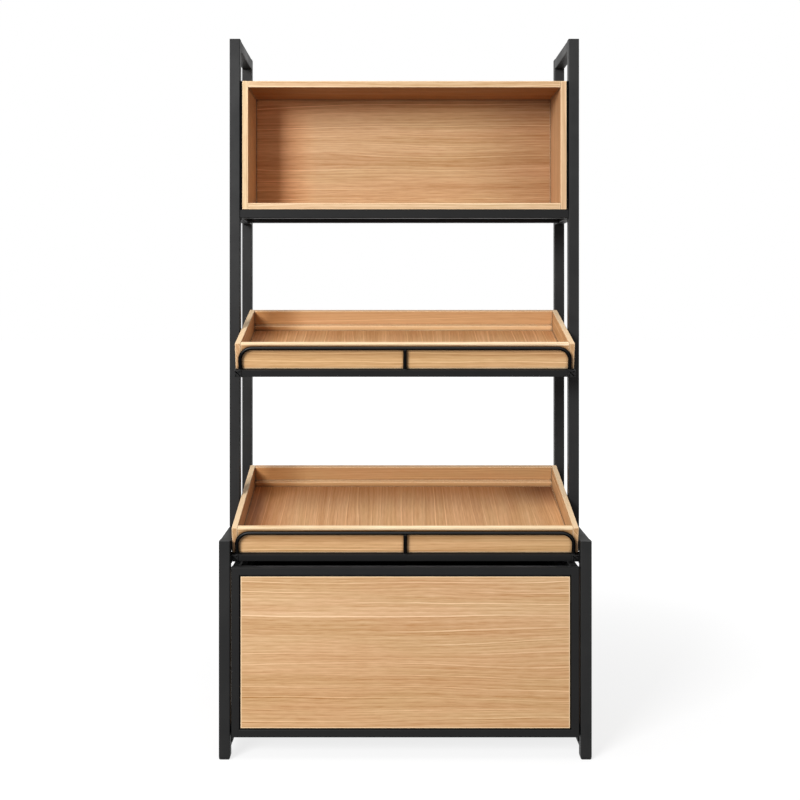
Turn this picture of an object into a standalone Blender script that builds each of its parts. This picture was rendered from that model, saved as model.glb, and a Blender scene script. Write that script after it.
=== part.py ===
"""A free-standing display rack, in metres.

A black steel frame carries an open wooden cubby, two tilted wooden trays and a pull-out bin.
+X is the rack's right, -Y its front and +Z up. The origin is on the floor under its middle.
"""

import math

import bmesh
import bpy
from mathutils import Vector

# Fits
GAP = 0.0003  # between pieces that touch
WELD_SINK = 0.0005  # how far a welded-on piece reaches into what carries it
CUT_OVERRUN = 0.004  # how far a cutter passes the face that it opens
CAP_WELD = 0.00001  # joins the caps of a meshed curve to its sides

# Whole rack
RACK_WIDTH = 1.000
RACK_DEPTH = 0.500
RACK_HEIGHT = 1.980
UPPER_DEPTH = 0.300  # from the front of the front posts to the rack's back

# Square tube of the legs, posts and rails
TUBE = 0.030
TUBE_WALL = 0.0015
TUBE_CORNER = 0.0025
CORNER_SEGMENTS = 3

# Base frame
BASE_HEIGHT = 0.586
BOTTOM_RAIL_LIFT = 0.0275  # floor to the underside of the bottom rails

# Foot glides, plugged into the legs
GLIDE_HEAD = 0.0065
GLIDE_INSET = 0.001  # how far the head stands back from the leg's faces
GLIDE_CHAMFER = 0.003
GLIDE_STEM = 0.014
GLIDE_FIT = 0.0005

# Cubby and the smaller tube frame under it
SUPPORT_TUBE = 0.025
SUPPORT_TOP = RACK_HEIGHT - 0.488
CUBBY_HEIGHT = 0.367
CUBBY_DEPTH = UPPER_DEPTH - 0.092
SUPPORT_REAR_SETBACK = CUBBY_DEPTH - 0.023  # from the front of the posts to the rear support rail
CUBBY_BOARD = 0.018
CUBBY_BACK_BOARD = 0.012
CUBBY_SIDE_GAP = 0.005

# Tilted trays and their frames
TRAY_TILT = math.radians(15)
TRAY_TUBE = 0.020
TRAY_TUBE_WALL = 0.0012
TRAY_TUBE_CORNER = 0.002
TRAY_FRAME_INSET = 0.006  # from the rack's back to the rear ends of the side tubes
TRAY_SIDE_GAP = 0.003
TRAY_WALL = 0.073
TRAY_BOARD = 0.015
TRAY_START = 0.012  # from the front of the frame to the front of the wooden tray
TRAY_LEDGE_HEIGHT = 0.014
TRAY_LEDGE_DEPTH = 0.012
MID_TRAY_DEPTH = UPPER_DEPTH + 0.045
MID_TRAY_HEIGHT = SUPPORT_TOP - 0.4522  # floor to the front top edge of the frame
MID_TRAY_REACH = 0.1195  # how far the frame stands out in front of the posts
LOWER_TRAY_DEPTH = RACK_DEPTH - 0.080
LOWER_TRAY_DROP = 0.0398  # front top edge of the frame below the top of the base
LOWER_TRAY_SETBACK = 0.018  # behind the front of the legs

# Round-bar guards in front of the trays
GUARD_BAR = 0.010
GUARD_STRUT = 0.0096
GUARD_TOP = 0.0666
GUARD_SIDE_INSET = 0.011
GUARD_CORNER = 0.035
GUARD_SETBACK = 0.0055  # from the front of the tray frame to the bar's centre
GUARD_CORNER_STEPS = 6
GUARD_BAR_RESOLUTION = 3
STRUT_SIDES = 12

# Pull-out bin
BIN_TUBE = 0.022
BIN_DEPTH = RACK_DEPTH - 0.060
BIN_SIDE_GAP = 0.0036
BIN_PULL_GAP = 0.0103  # finger gap between the bin and the lower tray's frame
BIN_PANEL = 0.012
BIN_PANEL_RECESS = 0.002
BIN_PANEL_GROOVE = 0.003  # width of the dark line around the outside of a panel
BIN_PANEL_GROOVE_DEPTH = 0.005
BIN_BACK_LIFT = 0.004
BIN_TRAVEL = BIN_DEPTH - 0.140
DRAIN_HOLE = 0.006
DRAIN_HOLE_SIDES = 16

# Runners, stops and hold-down brackets of the bin
RUNNER_THICK = 0.003
RUNNER_FLANGE = 0.020
RUNNER_LEG = 0.019
RUNNER_DROP = 0.0012  # top of the runner below the top of its rail
RUNNER_END = 0.002
RUNNER_STOP_HEIGHT = 0.015
STRIP_THICK = 0.0031
STRIP_WIDTH = 0.014
STRIP_INSET = 0.002
STRIP_END = 0.030
KICKER_THICK = 0.003
KICKER_SET_IN = 0.0035
KICKER_INNER = 0.045  # how far its flange reaches in from the rails
KICKER_LENGTH = 0.100
KICKER_LEAD = 0.022  # how far it runs in front of its stop lip
STOP_LIP_WIDTH = 0.013
STOP_LIP_DROP = 0.016

# Wood and metal finish
BOARD_EASE = 0.0008
RIM_SEGMENTS = 2
SMOOTH_BELOW = math.radians(40)
STEEL_COLOUR = (0.027, 0.027, 0.028, 1.0)
WOOD_COLOUR = (0.64, 0.39, 0.20, 1.0)
BLACK_BOARD_COLOUR = (0.020, 0.020, 0.021, 1.0)
PLASTIC_COLOUR = (0.018, 0.018, 0.018, 1.0)
NYLON_COLOUR = (0.62, 0.61, 0.57, 1.0)

# Places worked out from the sizes above
SIDES = (("left", -1), ("right", 1))
OUTER_X = RACK_WIDTH / 2
INNER_X = OUTER_X - TUBE
FRONT_Y = -RACK_DEPTH / 2
BACK_Y = RACK_DEPTH / 2
POST_FRONT_Y = BACK_Y - UPPER_DEPTH
BOTTOM_RAIL_TOP = BOTTOM_RAIL_LIFT + TUBE
RUNNER_TOP = BOTTOM_RAIL_TOP - RUNNER_DROP
LOWER_TRAY_HEIGHT = BASE_HEIGHT - LOWER_TRAY_DROP
LOWER_TRAY_FRONT_Y = FRONT_Y + LOWER_TRAY_SETBACK
MID_TRAY_FRONT_Y = POST_FRONT_Y - MID_TRAY_REACH
BIN_X = INNER_X - BIN_SIDE_GAP
BIN_BOTTOM = RUNNER_TOP + GAP + STRIP_THICK + GAP
BIN_TOP = LOWER_TRAY_HEIGHT - TRAY_TUBE * math.cos(TRAY_TILT) - BIN_PULL_GAP
BIN_HEIGHT = BIN_TOP - BIN_BOTTOM

SIDE_TO_SIDE, FRONT_TO_BACK, UPRIGHT = range(3)


def clear_scene():
    """Removes what the start-up file holds."""
    for thing in list(bpy.data.objects):
        bpy.data.objects.remove(thing, do_unlink=True)


def new_collection(name):
    """A collection under the scene's own."""
    collection = bpy.data.collections.new(name)
    bpy.context.scene.collection.children.link(collection)
    return collection


def new_material(name, colour, roughness, metallic):
    """A Principled material of one colour."""
    material = bpy.data.materials.new(name)
    material.use_nodes = True
    surface = material.node_tree.nodes["Principled BSDF"]
    surface.inputs["Base Color"].default_value = colour
    surface.inputs["Roughness"].default_value = roughness
    surface.inputs["Metallic"].default_value = metallic
    return material


clear_scene()
PARTS = new_collection("display_rack")
CUTTERS = new_collection("cutters")
STEEL = new_material("black_steel", STEEL_COLOUR, 0.45, 0.1)
WOOD = new_material("light_wood", WOOD_COLOUR, 0.55, 0.0)
BLACK_BOARD = new_material("black_board", BLACK_BOARD_COLOUR, 0.6, 0.0)
PLASTIC = new_material("black_plastic", PLASTIC_COLOUR, 0.5, 0.0)
NYLON = new_material("nylon", NYLON_COLOUR, 0.4, 0.0)


def across(sign, inner, outer):
    """The low and high x of a piece on one side, from its distances to the middle."""
    return sorted((sign * inner, sign * outer))


def new_datum(name, location, tilt=0.0):
    """An empty that a group of pieces is placed by."""
    datum = bpy.data.objects.new(name, None)
    datum.location = location
    datum.rotation_euler.x = tilt
    PARTS.objects.link(datum)
    return datum


def link_piece(name, mesh, middle, material, parent):
    """The mesh as an object: a part where it has a material, and otherwise a helper for a Boolean."""
    piece = bpy.data.objects.new(name, mesh)
    piece.location = middle
    piece.parent = parent
    if material:
        mesh.materials.append(material)
        PARTS.objects.link(piece)
        return piece
    piece.hide_render = True
    piece.display_type = "WIRE"
    CUTTERS.objects.link(piece)
    return piece


def add_block(name, low, high, material=None, parent=None, corner=0.0, along=UPRIGHT):
    """A block between two corners. The edges that run along one axis can be rounded."""
    middle = [(a + b) / 2 for a, b in zip(low, high)]
    size = [b - a for a, b in zip(low, high)]
    shape = bmesh.new()
    bmesh.ops.create_cube(shape, size=1)
    bmesh.ops.scale(shape, vec=size, verts=shape.verts)
    if corner > 0:
        edges = [e for e in shape.edges if e.verts[0].co[along] != e.verts[1].co[along]]
        bmesh.ops.bevel(shape, geom=edges, offset=corner, segments=CORNER_SEGMENTS, profile=0.5,
                        affect="EDGES")
    mesh = bpy.data.meshes.new(name)
    shape.to_mesh(mesh)
    shape.free()
    return link_piece(name, mesh, middle, material, parent)


def mesh_of_curve(name, curve):
    """The curve's shape as a closed mesh, with its caps welded on."""
    guide = bpy.data.objects.new(name, curve)
    bpy.context.scene.collection.objects.link(guide)
    graph = bpy.context.evaluated_depsgraph_get()
    mesh = bpy.data.meshes.new_from_object(guide.evaluated_get(graph))
    bpy.data.objects.remove(guide)
    shape = bmesh.new()
    shape.from_mesh(mesh)
    bmesh.ops.remove_doubles(shape, verts=shape.verts, dist=CAP_WELD)
    bmesh.ops.recalc_face_normals(shape, faces=shape.faces)
    shape.to_mesh(mesh)
    shape.free()
    return mesh


def add_outline(name, loops, thickness, turn, middle, material=None, parent=None):
    """A flat plate cut to one or more closed outlines, turned about X and Z into its plane."""
    curve = bpy.data.curves.new(name, "CURVE")
    curve.dimensions = "2D"
    curve.fill_mode = "BOTH"
    curve.extrude = thickness / 2
    for loop in loops:
        spline = curve.splines.new("POLY")
        spline.points.add(len(loop) - 1)
        spline.use_cyclic_u = True
        for point, (right, up) in zip(spline.points, loop):
            point.co = (right, up, 0, 1)
    piece = link_piece(name, mesh_of_curve(name, curve), middle, material, parent)
    piece.rotation_euler = turn
    return piece


FACING_FRONT = (math.radians(90), 0, 0)
FACING_SIDE = (math.radians(90), 0, math.radians(90))
FACING_UP = (0, 0, 0)


def rectangle(left, right, low, high):
    """The corners of a rectangle."""
    return [(left, low), (right, low), (right, high), (left, high)]


def boolean(piece, other, operation):
    """Cuts another solid out of the piece, or welds it on."""
    modifier = piece.modifiers.new(other.name, "BOOLEAN")
    modifier.operation = operation
    modifier.object = other


def ease_edges(board):
    """Takes the sharpness off every edge of a board."""
    bevel = board.modifiers.new("eased_edges", "BEVEL")
    bevel.width = BOARD_EASE
    bevel.segments = 1
    bevel.limit_method = "ANGLE"


def ease_rims(plate, width):
    """Rounds the rims of a flat plate's two faces, and leaves the corners of its outline square."""
    shape = bmesh.new()
    shape.from_mesh(plate.data)
    rims = [edge for edge in shape.edges
            if edge.calc_face_angle() > SMOOTH_BELOW and edge.verts[0].co.z * edge.verts[1].co.z > 0]
    bmesh.ops.bevel(shape, geom=rims, offset=width, segments=RIM_SEGMENTS, profile=0.5, affect="EDGES")
    shape.to_mesh(plate.data)
    shape.free()
    smooth(plate)


def smooth(piece):
    """Shades round stretches smooth and leaves the corners sharp."""
    piece.data.shade_smooth()
    piece.data.set_sharp_from_angle(angle=SMOOTH_BELOW)


def add_tube(name, low, high, along, parent=None, capped=False, wall=TUBE_WALL, corner=TUBE_CORNER):
    """A square steel tube, open at both ends or closed at its far end by a welded cap."""
    tube = add_block(name, low, high, STEEL, parent, corner, along)
    bore_low = [value + wall for value in low]
    bore_high = [value - wall for value in high]
    bore_low[along] = low[along] - CUT_OVERRUN
    if not capped:
        bore_high[along] = high[along] + CUT_OVERRUN
    bore_corner = max(corner - wall, 0)
    bore = add_block(name + "_bore", bore_low, bore_high, None, parent, bore_corner, along)
    boolean(tube, bore, "DIFFERENCE")
    smooth(tube)
    return tube


def add_board(name, low, high, parent=None, material=WOOD):
    """A board with eased edges."""
    board = add_block(name, low, high, material, parent)
    ease_edges(board)
    return board


def base_uprights():
    """Each leg's name, with the low corner of its footprint."""
    for end, low_y in (("front", FRONT_Y), ("rear", BACK_Y - TUBE)):
        for side, sign in SIDES:
            yield f"{end}_{side}", min(across(sign, INNER_X, OUTER_X)), low_y


def build_legs():
    """Four capped legs, each on a plastic glide."""
    for place, low_x, low_y in base_uprights():
        high_x = low_x + TUBE
        high_y = low_y + TUBE
        leg_low = (low_x, low_y, GLIDE_HEAD + GAP)
        add_tube(f"leg_{place}", leg_low, (high_x, high_y, BASE_HEIGHT), UPRIGHT, capped=True)
        build_glide(f"foot_glide_{place}", low_x, high_x, low_y, high_y)


def build_glide(name, low_x, high_x, low_y, high_y):
    """A foot with a chamfered head and a stem that fills the leg's bore."""
    glide = add_block(name, (low_x + GLIDE_INSET, low_y + GLIDE_INSET, 0),
                      (high_x - GLIDE_INSET, high_y - GLIDE_INSET, GLIDE_HEAD), PLASTIC)
    shape = bmesh.new()
    shape.from_mesh(glide.data)
    rim = [edge for edge in shape.edges if max(vert.co.z for vert in edge.verts) < 0]
    bmesh.ops.bevel(shape, geom=rim, offset=GLIDE_CHAMFER, segments=1, profile=0.5, affect="EDGES")
    shape.to_mesh(glide.data)
    shape.free()
    inset = TUBE_WALL + GLIDE_FIT
    stem_low = (low_x + inset, low_y + inset, GLIDE_HEAD - WELD_SINK)
    stem_high = (high_x - inset, high_y - inset, GLIDE_HEAD + GLIDE_STEM)
    boolean(glide, add_block(name + "_stem", stem_low, stem_high), "UNION")


def build_base_rails():
    """Side rails and rear rails at two heights. The bin runs on and under the side ones."""
    low_y = FRONT_Y + TUBE + GAP
    high_y = BACK_Y - TUBE - GAP
    for side, sign in SIDES:
        low_x, high_x = across(sign, INNER_X, OUTER_X)
        bottom = add_tube(f"bottom_rail_{side}", (low_x, low_y, BOTTOM_RAIL_LIFT),
                          (high_x, high_y, BOTTOM_RAIL_TOP), FRONT_TO_BACK)
        weld_runner(bottom, sign, low_y, high_y)
        top = add_tube(f"top_rail_{side}", (low_x, low_y, BASE_HEIGHT - TUBE),
                       (high_x, high_y, BASE_HEIGHT), FRONT_TO_BACK)
        weld_kicker(top, sign)
    rail_x = INNER_X - GAP
    for name, low_z in (("bottom_rail_rear", BOTTOM_RAIL_LIFT), ("top_rail_rear", BASE_HEIGHT - TUBE)):
        add_tube(name, (-rail_x, BACK_Y - TUBE, low_z), (rail_x, BACK_Y, low_z + TUBE), SIDE_TO_SIDE)


def weld_runner(rail, sign, low_y, high_y):
    """Welds on the angle that the bin slides on, with the tab that stops it when pushed home."""
    flange_x = INNER_X - RUNNER_FLANGE
    leg_x = INNER_X - RUNNER_THICK
    weld_x = INNER_X + WELD_SINK
    under = RUNNER_TOP - RUNNER_THICK
    angle = [(flange_x, RUNNER_TOP), (weld_x, RUNNER_TOP), (weld_x, RUNNER_TOP - RUNNER_LEG),
             (leg_x, RUNNER_TOP - RUNNER_LEG), (leg_x, under), (flange_x, under)]
    loop = [(sign * x, z) for x, z in angle]
    middle_y = (low_y + high_y) / 2
    length = high_y - low_y - 2 * RUNNER_END
    runner = add_outline(rail.name + "_runner", [loop], length, FACING_FRONT, (0, middle_y, 0))
    boolean(rail, runner, "UNION")
    stop_y = FRONT_Y + BIN_DEPTH + GAP
    stop_low_x, stop_high_x = across(sign, flange_x + RUNNER_END, leg_x)
    stop = add_block(rail.name + "_stop", (stop_low_x, stop_y, RUNNER_TOP - WELD_SINK),
                     (stop_high_x, stop_y + RUNNER_THICK, RUNNER_TOP + RUNNER_STOP_HEIGHT))
    boolean(rail, stop, "UNION")


def weld_kicker(rail, sign):
    """Welds on the bracket that holds the bin down when it is out, with the lip that ends its travel."""
    under = BIN_TOP + GAP
    flange_top = under + KICKER_THICK
    hanger_x = INNER_X + KICKER_SET_IN
    flange_x = INNER_X - KICKER_INNER
    weld_z = BASE_HEIGHT - TUBE + WELD_SINK
    bracket = [(flange_x, under), (hanger_x + KICKER_THICK, under), (hanger_x + KICKER_THICK, weld_z),
               (hanger_x, weld_z), (hanger_x, flange_top), (flange_x, flange_top)]
    loop = [(sign * x, z) for x, z in bracket]
    lip_back = FRONT_Y + BIN_DEPTH - BIN_TUBE - BIN_TRAVEL - GAP
    start_y = lip_back - RUNNER_THICK - KICKER_LEAD
    middle_y = start_y + KICKER_LENGTH / 2
    kicker = add_outline(rail.name + "_kicker", [loop], KICKER_LENGTH, FACING_FRONT, (0, middle_y, 0))
    boolean(rail, kicker, "UNION")
    lip_low_x, lip_high_x = across(sign, flange_x + WELD_SINK, flange_x + STOP_LIP_WIDTH)
    lip = add_block(rail.name + "_lip", (lip_low_x, lip_back - KICKER_THICK, under - STOP_LIP_DROP),
                    (lip_high_x, lip_back, under + KICKER_THICK / 2))
    boolean(rail, lip, "UNION")


def build_posts():
    """Four capped posts on the base, and a rail over each side pair."""
    low_z = BASE_HEIGHT + GAP
    for side, sign in SIDES:
        low_x, high_x = across(sign, INNER_X, OUTER_X)
        for end, low_y in (("front", POST_FRONT_Y), ("rear", BACK_Y - TUBE)):
            add_tube(f"post_{end}_{side}", (low_x, low_y, low_z), (high_x, low_y + TUBE, RACK_HEIGHT),
                     UPRIGHT, capped=True)
        add_tube(f"crown_rail_{side}", (low_x, POST_FRONT_Y + TUBE + GAP, RACK_HEIGHT - TUBE),
                 (high_x, BACK_Y - TUBE - GAP, RACK_HEIGHT), FRONT_TO_BACK)


def build_cubby_support():
    """The smaller tubes that the cubby stands on."""
    low_z = SUPPORT_TOP - SUPPORT_TUBE
    rail_x = INNER_X - GAP
    rear_y = POST_FRONT_Y + SUPPORT_REAR_SETBACK
    for end, low_y in (("front", POST_FRONT_Y), ("rear", rear_y)):
        add_tube(f"cubby_rail_{end}", (-rail_x, low_y, low_z),
                 (rail_x, low_y + SUPPORT_TUBE, SUPPORT_TOP), SIDE_TO_SIDE)
    for side, sign in SIDES:
        low_x, high_x = across(sign, INNER_X, INNER_X + SUPPORT_TUBE)
        add_tube(f"cubby_rail_{side}", (low_x, POST_FRONT_Y + TUBE + GAP, low_z),
                 (high_x, BACK_Y - TUBE - GAP, SUPPORT_TOP), FRONT_TO_BACK)


def build_cubby():
    """The open-fronted box between the posts."""
    outer_x = INNER_X - CUBBY_SIDE_GAP
    inner_x = outer_x - CUBBY_BOARD
    back_y = POST_FRONT_Y + CUBBY_DEPTH
    low_z = SUPPORT_TOP + GAP
    high_z = low_z + CUBBY_HEIGHT
    for side, sign in SIDES:
        low_x, high_x = across(sign, inner_x, outer_x)
        add_board(f"cubby_{side}", (low_x, POST_FRONT_Y, low_z), (high_x, back_y, high_z))
    board_x = inner_x - GAP
    back_front_y = back_y - CUBBY_BACK_BOARD
    for name, board_z in (("cubby_bottom", low_z), ("cubby_top", high_z - CUBBY_BOARD)):
        add_board(name, (-board_x, POST_FRONT_Y, board_z),
                  (board_x, back_front_y - GAP, board_z + CUBBY_BOARD))
    add_board("cubby_back", (-board_x, back_front_y, low_z), (board_x, back_y, high_z))


def build_tray_frame(name, datum, tray_back):
    """Four tubes around the tray's underside, in the datum's tilted axes."""
    outer_x = INNER_X - GAP
    inner_x = outer_x - TRAY_TUBE
    length = (BACK_Y - TRAY_FRAME_INSET - datum.location.y) / math.cos(TRAY_TILT)
    fit = {"parent": datum, "wall": TRAY_TUBE_WALL, "corner": TRAY_TUBE_CORNER}
    for side, sign in SIDES:
        low_x, high_x = across(sign, inner_x, outer_x)
        add_tube(f"{name}_frame_{side}", (low_x, 0, -TRAY_TUBE), (high_x, length, 0),
                 FRONT_TO_BACK, **fit)
    rail_x = inner_x - GAP
    for end, start in (("front", 0), ("rear", tray_back - TRAY_TUBE)):
        add_tube(f"{name}_frame_{end}", (-rail_x, start, -TRAY_TUBE), (rail_x, start + TRAY_TUBE, 0),
                 SIDE_TO_SIDE, **fit)


def guard_path():
    """Points along the hoop's centre, as distances across and up."""
    foot_x = INNER_X - GUARD_SIDE_INSET - GUARD_BAR / 2
    top = GUARD_TOP - GUARD_BAR / 2
    turn_x = foot_x - GUARD_CORNER
    turn_z = top - GUARD_CORNER
    angles = [math.radians(90) * step / GUARD_CORNER_STEPS for step in range(GUARD_CORNER_STEPS + 1)]
    corner = [(turn_x + GUARD_CORNER * math.cos(angle), turn_z + GUARD_CORNER * math.sin(angle))
              for angle in angles]
    right_half = [(foot_x, GAP)] + corner
    return [(-x, z) for x, z in right_half] + right_half[::-1]


def build_guard(name, datum):
    """A hoop of round bar with a strut at its middle, welded on the front of the tray frame."""
    curve = bpy.data.curves.new(name, "CURVE")
    curve.dimensions = "3D"
    curve.bevel_depth = GUARD_BAR / 2
    curve.bevel_resolution = GUARD_BAR_RESOLUTION
    curve.use_fill_caps = True
    path = guard_path()
    spline = curve.splines.new("POLY")
    spline.points.add(len(path) - 1)
    for point, (x, z) in zip(spline.points, path):
        point.co = (x, 0, z, 1)
    guard = link_piece(name, mesh_of_curve(name, curve), (0, GUARD_SETBACK, 0), STEEL, datum)
    strut_length = GUARD_TOP - GUARD_BAR / 2 - GAP
    shape = bmesh.new()
    bmesh.ops.create_cone(shape, cap_ends=True, segments=STRUT_SIDES, radius1=GUARD_STRUT / 2,
                          radius2=GUARD_STRUT / 2, depth=strut_length)
    mesh = bpy.data.meshes.new(name + "_strut")
    shape.to_mesh(mesh)
    shape.free()
    strut = link_piece(name + "_strut", mesh, (0, GUARD_SETBACK, GAP + strut_length / 2), None, datum)
    boolean(guard, strut, "UNION")
    smooth(guard)


def build_tray_boards(name, datum, depth):
    """The wooden tray: two full-depth sides with the front, bottom and stepped back between them."""
    outer_x = INNER_X - TRAY_SIDE_GAP
    board_x = outer_x - TRAY_BOARD - GAP
    start = TRAY_START
    end = TRAY_START + depth
    top = GAP + TRAY_WALL
    for side, sign in SIDES:
        low_x, high_x = across(sign, outer_x - TRAY_BOARD, outer_x)
        add_board(f"{name}_side_{side}", (low_x, start, GAP), (high_x, end, top), datum)
    add_board(f"{name}_front", (-board_x, start, GAP), (board_x, start + TRAY_BOARD, top), datum)
    floor_top = GAP + TRAY_BOARD
    back_front = end - TRAY_BOARD
    ledge_front = back_front - TRAY_LEDGE_DEPTH
    add_board(f"{name}_bottom", (-board_x, start + TRAY_BOARD + GAP, GAP),
              (board_x, ledge_front - GAP, floor_top), datum)
    ledge_top = floor_top + TRAY_LEDGE_HEIGHT
    stepped = [(ledge_front, GAP), (end, GAP), (end, top), (back_front, top), (back_front, ledge_top),
               (ledge_front, ledge_top)]
    back = add_outline(f"{name}_back", [stepped], 2 * board_x, FACING_SIDE, (0, 0, 0), WOOD, datum)
    ease_edges(back)


def build_tray(name, front_y, front_z, depth):
    """One tilted tray with its frame and guard. The datum is the frame's front top edge."""
    datum = new_datum(f"{name}_datum", (0, front_y, front_z), TRAY_TILT)
    build_tray_frame(name, datum, TRAY_START + depth)
    build_guard(f"{name}_guard", datum)
    build_tray_boards(name, datum, depth)


def add_set_in_panel(name, low, high, facing, parent):
    """A board for a tube frame. Its outer face is stepped in all round, which leaves a groove."""
    low = [value + BIN_PANEL_GROOVE_DEPTH * (way < 0) for value, way in zip(low, facing)]
    high = [value - BIN_PANEL_GROOVE_DEPTH * (way > 0) for value, way in zip(high, facing)]
    panel = add_block(name, low, high, WOOD, parent)
    shape = bmesh.new()
    shape.from_mesh(panel.data)
    outward = Vector(facing)
    face = max(shape.faces, key=lambda side: side.normal.dot(outward))
    bmesh.ops.inset_region(shape, faces=[face], thickness=BIN_PANEL_GROOVE)
    raised = bmesh.ops.extrude_discrete_faces(shape, faces=[face])["faces"][0]
    bmesh.ops.translate(shape, verts=raised.verts, vec=outward * BIN_PANEL_GROOVE_DEPTH)
    bmesh.ops.recalc_face_normals(shape, faces=shape.faces)
    shape.to_mesh(panel.data)
    shape.free()
    ease_edges(panel)


def build_bin_front(datum):
    """A welded ring of square tube, drained underneath, with a wooden panel set in."""
    middle = (0, BIN_TUBE / 2, 0)
    window = rectangle(-BIN_X + BIN_TUBE, BIN_X - BIN_TUBE, BIN_TUBE, BIN_HEIGHT - BIN_TUBE)
    outline = rectangle(-BIN_X, BIN_X, 0, BIN_HEIGHT)
    ring = add_outline("bin_front_frame", [outline, window], BIN_TUBE, FACING_FRONT, middle, STEEL, datum)
    ease_rims(ring, TUBE_CORNER)
    wall = TUBE_WALL
    bore_outline = rectangle(-BIN_X + wall, BIN_X - wall, wall, BIN_HEIGHT - wall)
    far = BIN_TUBE - wall
    bore_window = rectangle(-BIN_X + far, BIN_X - far, far, BIN_HEIGHT - far)
    bore = add_outline("bin_front_frame_bore", [bore_outline, bore_window], BIN_TUBE - 2 * wall,
                       FACING_FRONT, middle, None, datum)
    boolean(ring, bore, "DIFFERENCE")
    hole_depth = 2 * CUT_OVERRUN
    shape = bmesh.new()
    bmesh.ops.create_cone(shape, cap_ends=True, segments=DRAIN_HOLE_SIDES, radius1=DRAIN_HOLE / 2,
                          radius2=DRAIN_HOLE / 2, depth=hole_depth)
    mesh = bpy.data.meshes.new("bin_front_frame_drain")
    shape.to_mesh(mesh)
    shape.free()
    drain = link_piece("bin_front_frame_drain", mesh, (0, BIN_TUBE / 2, 0), None, datum)
    boolean(ring, drain, "DIFFERENCE")
    panel_x = BIN_X - BIN_TUBE - GAP
    add_set_in_panel("bin_front_panel", (-panel_x, BIN_PANEL_RECESS, BIN_TUBE + GAP),
                     (panel_x, BIN_PANEL_RECESS + BIN_PANEL, BIN_HEIGHT - BIN_TUBE - GAP),
                     (0, -1, 0), datum)


def side_frame_loop(inset, front):
    """The outline of a U-shaped side frame, open to the front, shrunk all round by an inset."""
    back = BIN_DEPTH - inset
    inner_back = BIN_DEPTH - BIN_TUBE + inset
    low = inset
    high = BIN_HEIGHT - inset
    inner_low = BIN_TUBE - inset
    inner_high = BIN_HEIGHT - BIN_TUBE + inset
    return [(front, low), (back, low), (back, high), (front, high), (front, inner_high),
            (inner_back, inner_high), (inner_back, inner_low), (front, inner_low)]


def build_bin_sides(datum):
    """A U of square tube on each side, with a wooden panel set in and a glide strip underneath."""
    front = BIN_TUBE + GAP
    for side, sign in SIDES:
        name = f"bin_side_frame_{side}"
        middle = (sign * (BIN_X - BIN_TUBE / 2), 0, 0)
        frame = add_outline(name, [side_frame_loop(0, front)], BIN_TUBE, FACING_SIDE, middle, STEEL, datum)
        ease_rims(frame, TUBE_CORNER)
        bore_loop = side_frame_loop(TUBE_WALL, front - CUT_OVERRUN)
        bore = add_outline(f"{name}_bore", [bore_loop], BIN_TUBE - 2 * TUBE_WALL, FACING_SIDE, middle,
                           None, datum)
        boolean(frame, bore, "DIFFERENCE")
        outer = BIN_X - BIN_PANEL_RECESS
        low_x, high_x = across(sign, outer - BIN_PANEL, outer)
        add_set_in_panel(f"bin_side_panel_{side}", (low_x, front, BIN_TUBE + GAP),
                         (high_x, BIN_DEPTH - BIN_TUBE - GAP, BIN_HEIGHT - BIN_TUBE - GAP),
                         (sign, 0, 0), datum)
        strip_outer = BIN_X - STRIP_INSET
        low_x, high_x = across(sign, strip_outer - STRIP_WIDTH, strip_outer)
        add_block(f"bin_glide_strip_{side}", (low_x, STRIP_END, -GAP - STRIP_THICK),
                  (high_x, BIN_DEPTH - STRIP_END, -GAP), NYLON, datum)


def build_bin_back_and_bottom(datum):
    """The rear rail, the back panel below it, and the bottom laid on the tubes around it."""
    rail_x = BIN_X - BIN_TUBE - GAP
    back = BIN_DEPTH - BIN_TUBE
    add_tube("bin_rear_rail", (-rail_x, back, BIN_HEIGHT - BIN_TUBE), (rail_x, BIN_DEPTH, BIN_HEIGHT),
             SIDE_TO_SIDE, datum)
    panel_back = BIN_DEPTH - BIN_PANEL_RECESS
    add_board("bin_back_panel", (-rail_x, panel_back - BIN_PANEL, BIN_BACK_LIFT),
              (rail_x, panel_back, BIN_HEIGHT - BIN_TUBE - GAP), datum, BLACK_BOARD)
    wide = BIN_X - BIN_PANEL_RECESS - BIN_PANEL - GAP
    start = BIN_PANEL_RECESS + BIN_PANEL + GAP
    shoulder = BIN_TUBE + GAP
    rear_shoulder = back - GAP
    end = panel_back - BIN_PANEL - GAP
    half = [(rail_x, start), (rail_x, shoulder), (wide, shoulder), (wide, rear_shoulder),
            (rail_x, rear_shoulder), (rail_x, end)]
    loop = half + [(-x, y) for x, y in half[::-1]]
    floor_z = BIN_TUBE + GAP + BIN_PANEL / 2
    bottom = add_outline("bin_bottom", [loop], BIN_PANEL, FACING_UP, (0, 0, floor_z), BLACK_BOARD, datum)
    ease_edges(bottom)


def build_bin():
    """The pull-out bin. Its datum is on the slide's line, at the middle of its front's lower edge."""
    datum = new_datum("bin_slide", (0, FRONT_Y, BIN_BOTTOM))
    build_bin_front(datum)
    build_bin_sides(datum)
    build_bin_back_and_bottom(datum)


build_legs()
build_base_rails()
build_posts()
build_cubby_support()
build_cubby()
build_tray("mid_tray", MID_TRAY_FRONT_Y, MID_TRAY_HEIGHT, MID_TRAY_DEPTH)
build_tray("lower_tray", LOWER_TRAY_FRONT_Y, LOWER_TRAY_HEIGHT, LOWER_TRAY_DEPTH)
build_bin()
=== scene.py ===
"""The looks of the display rack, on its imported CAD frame. Metres; +X right, -Y front, +Z up."""

import math
import random

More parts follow.
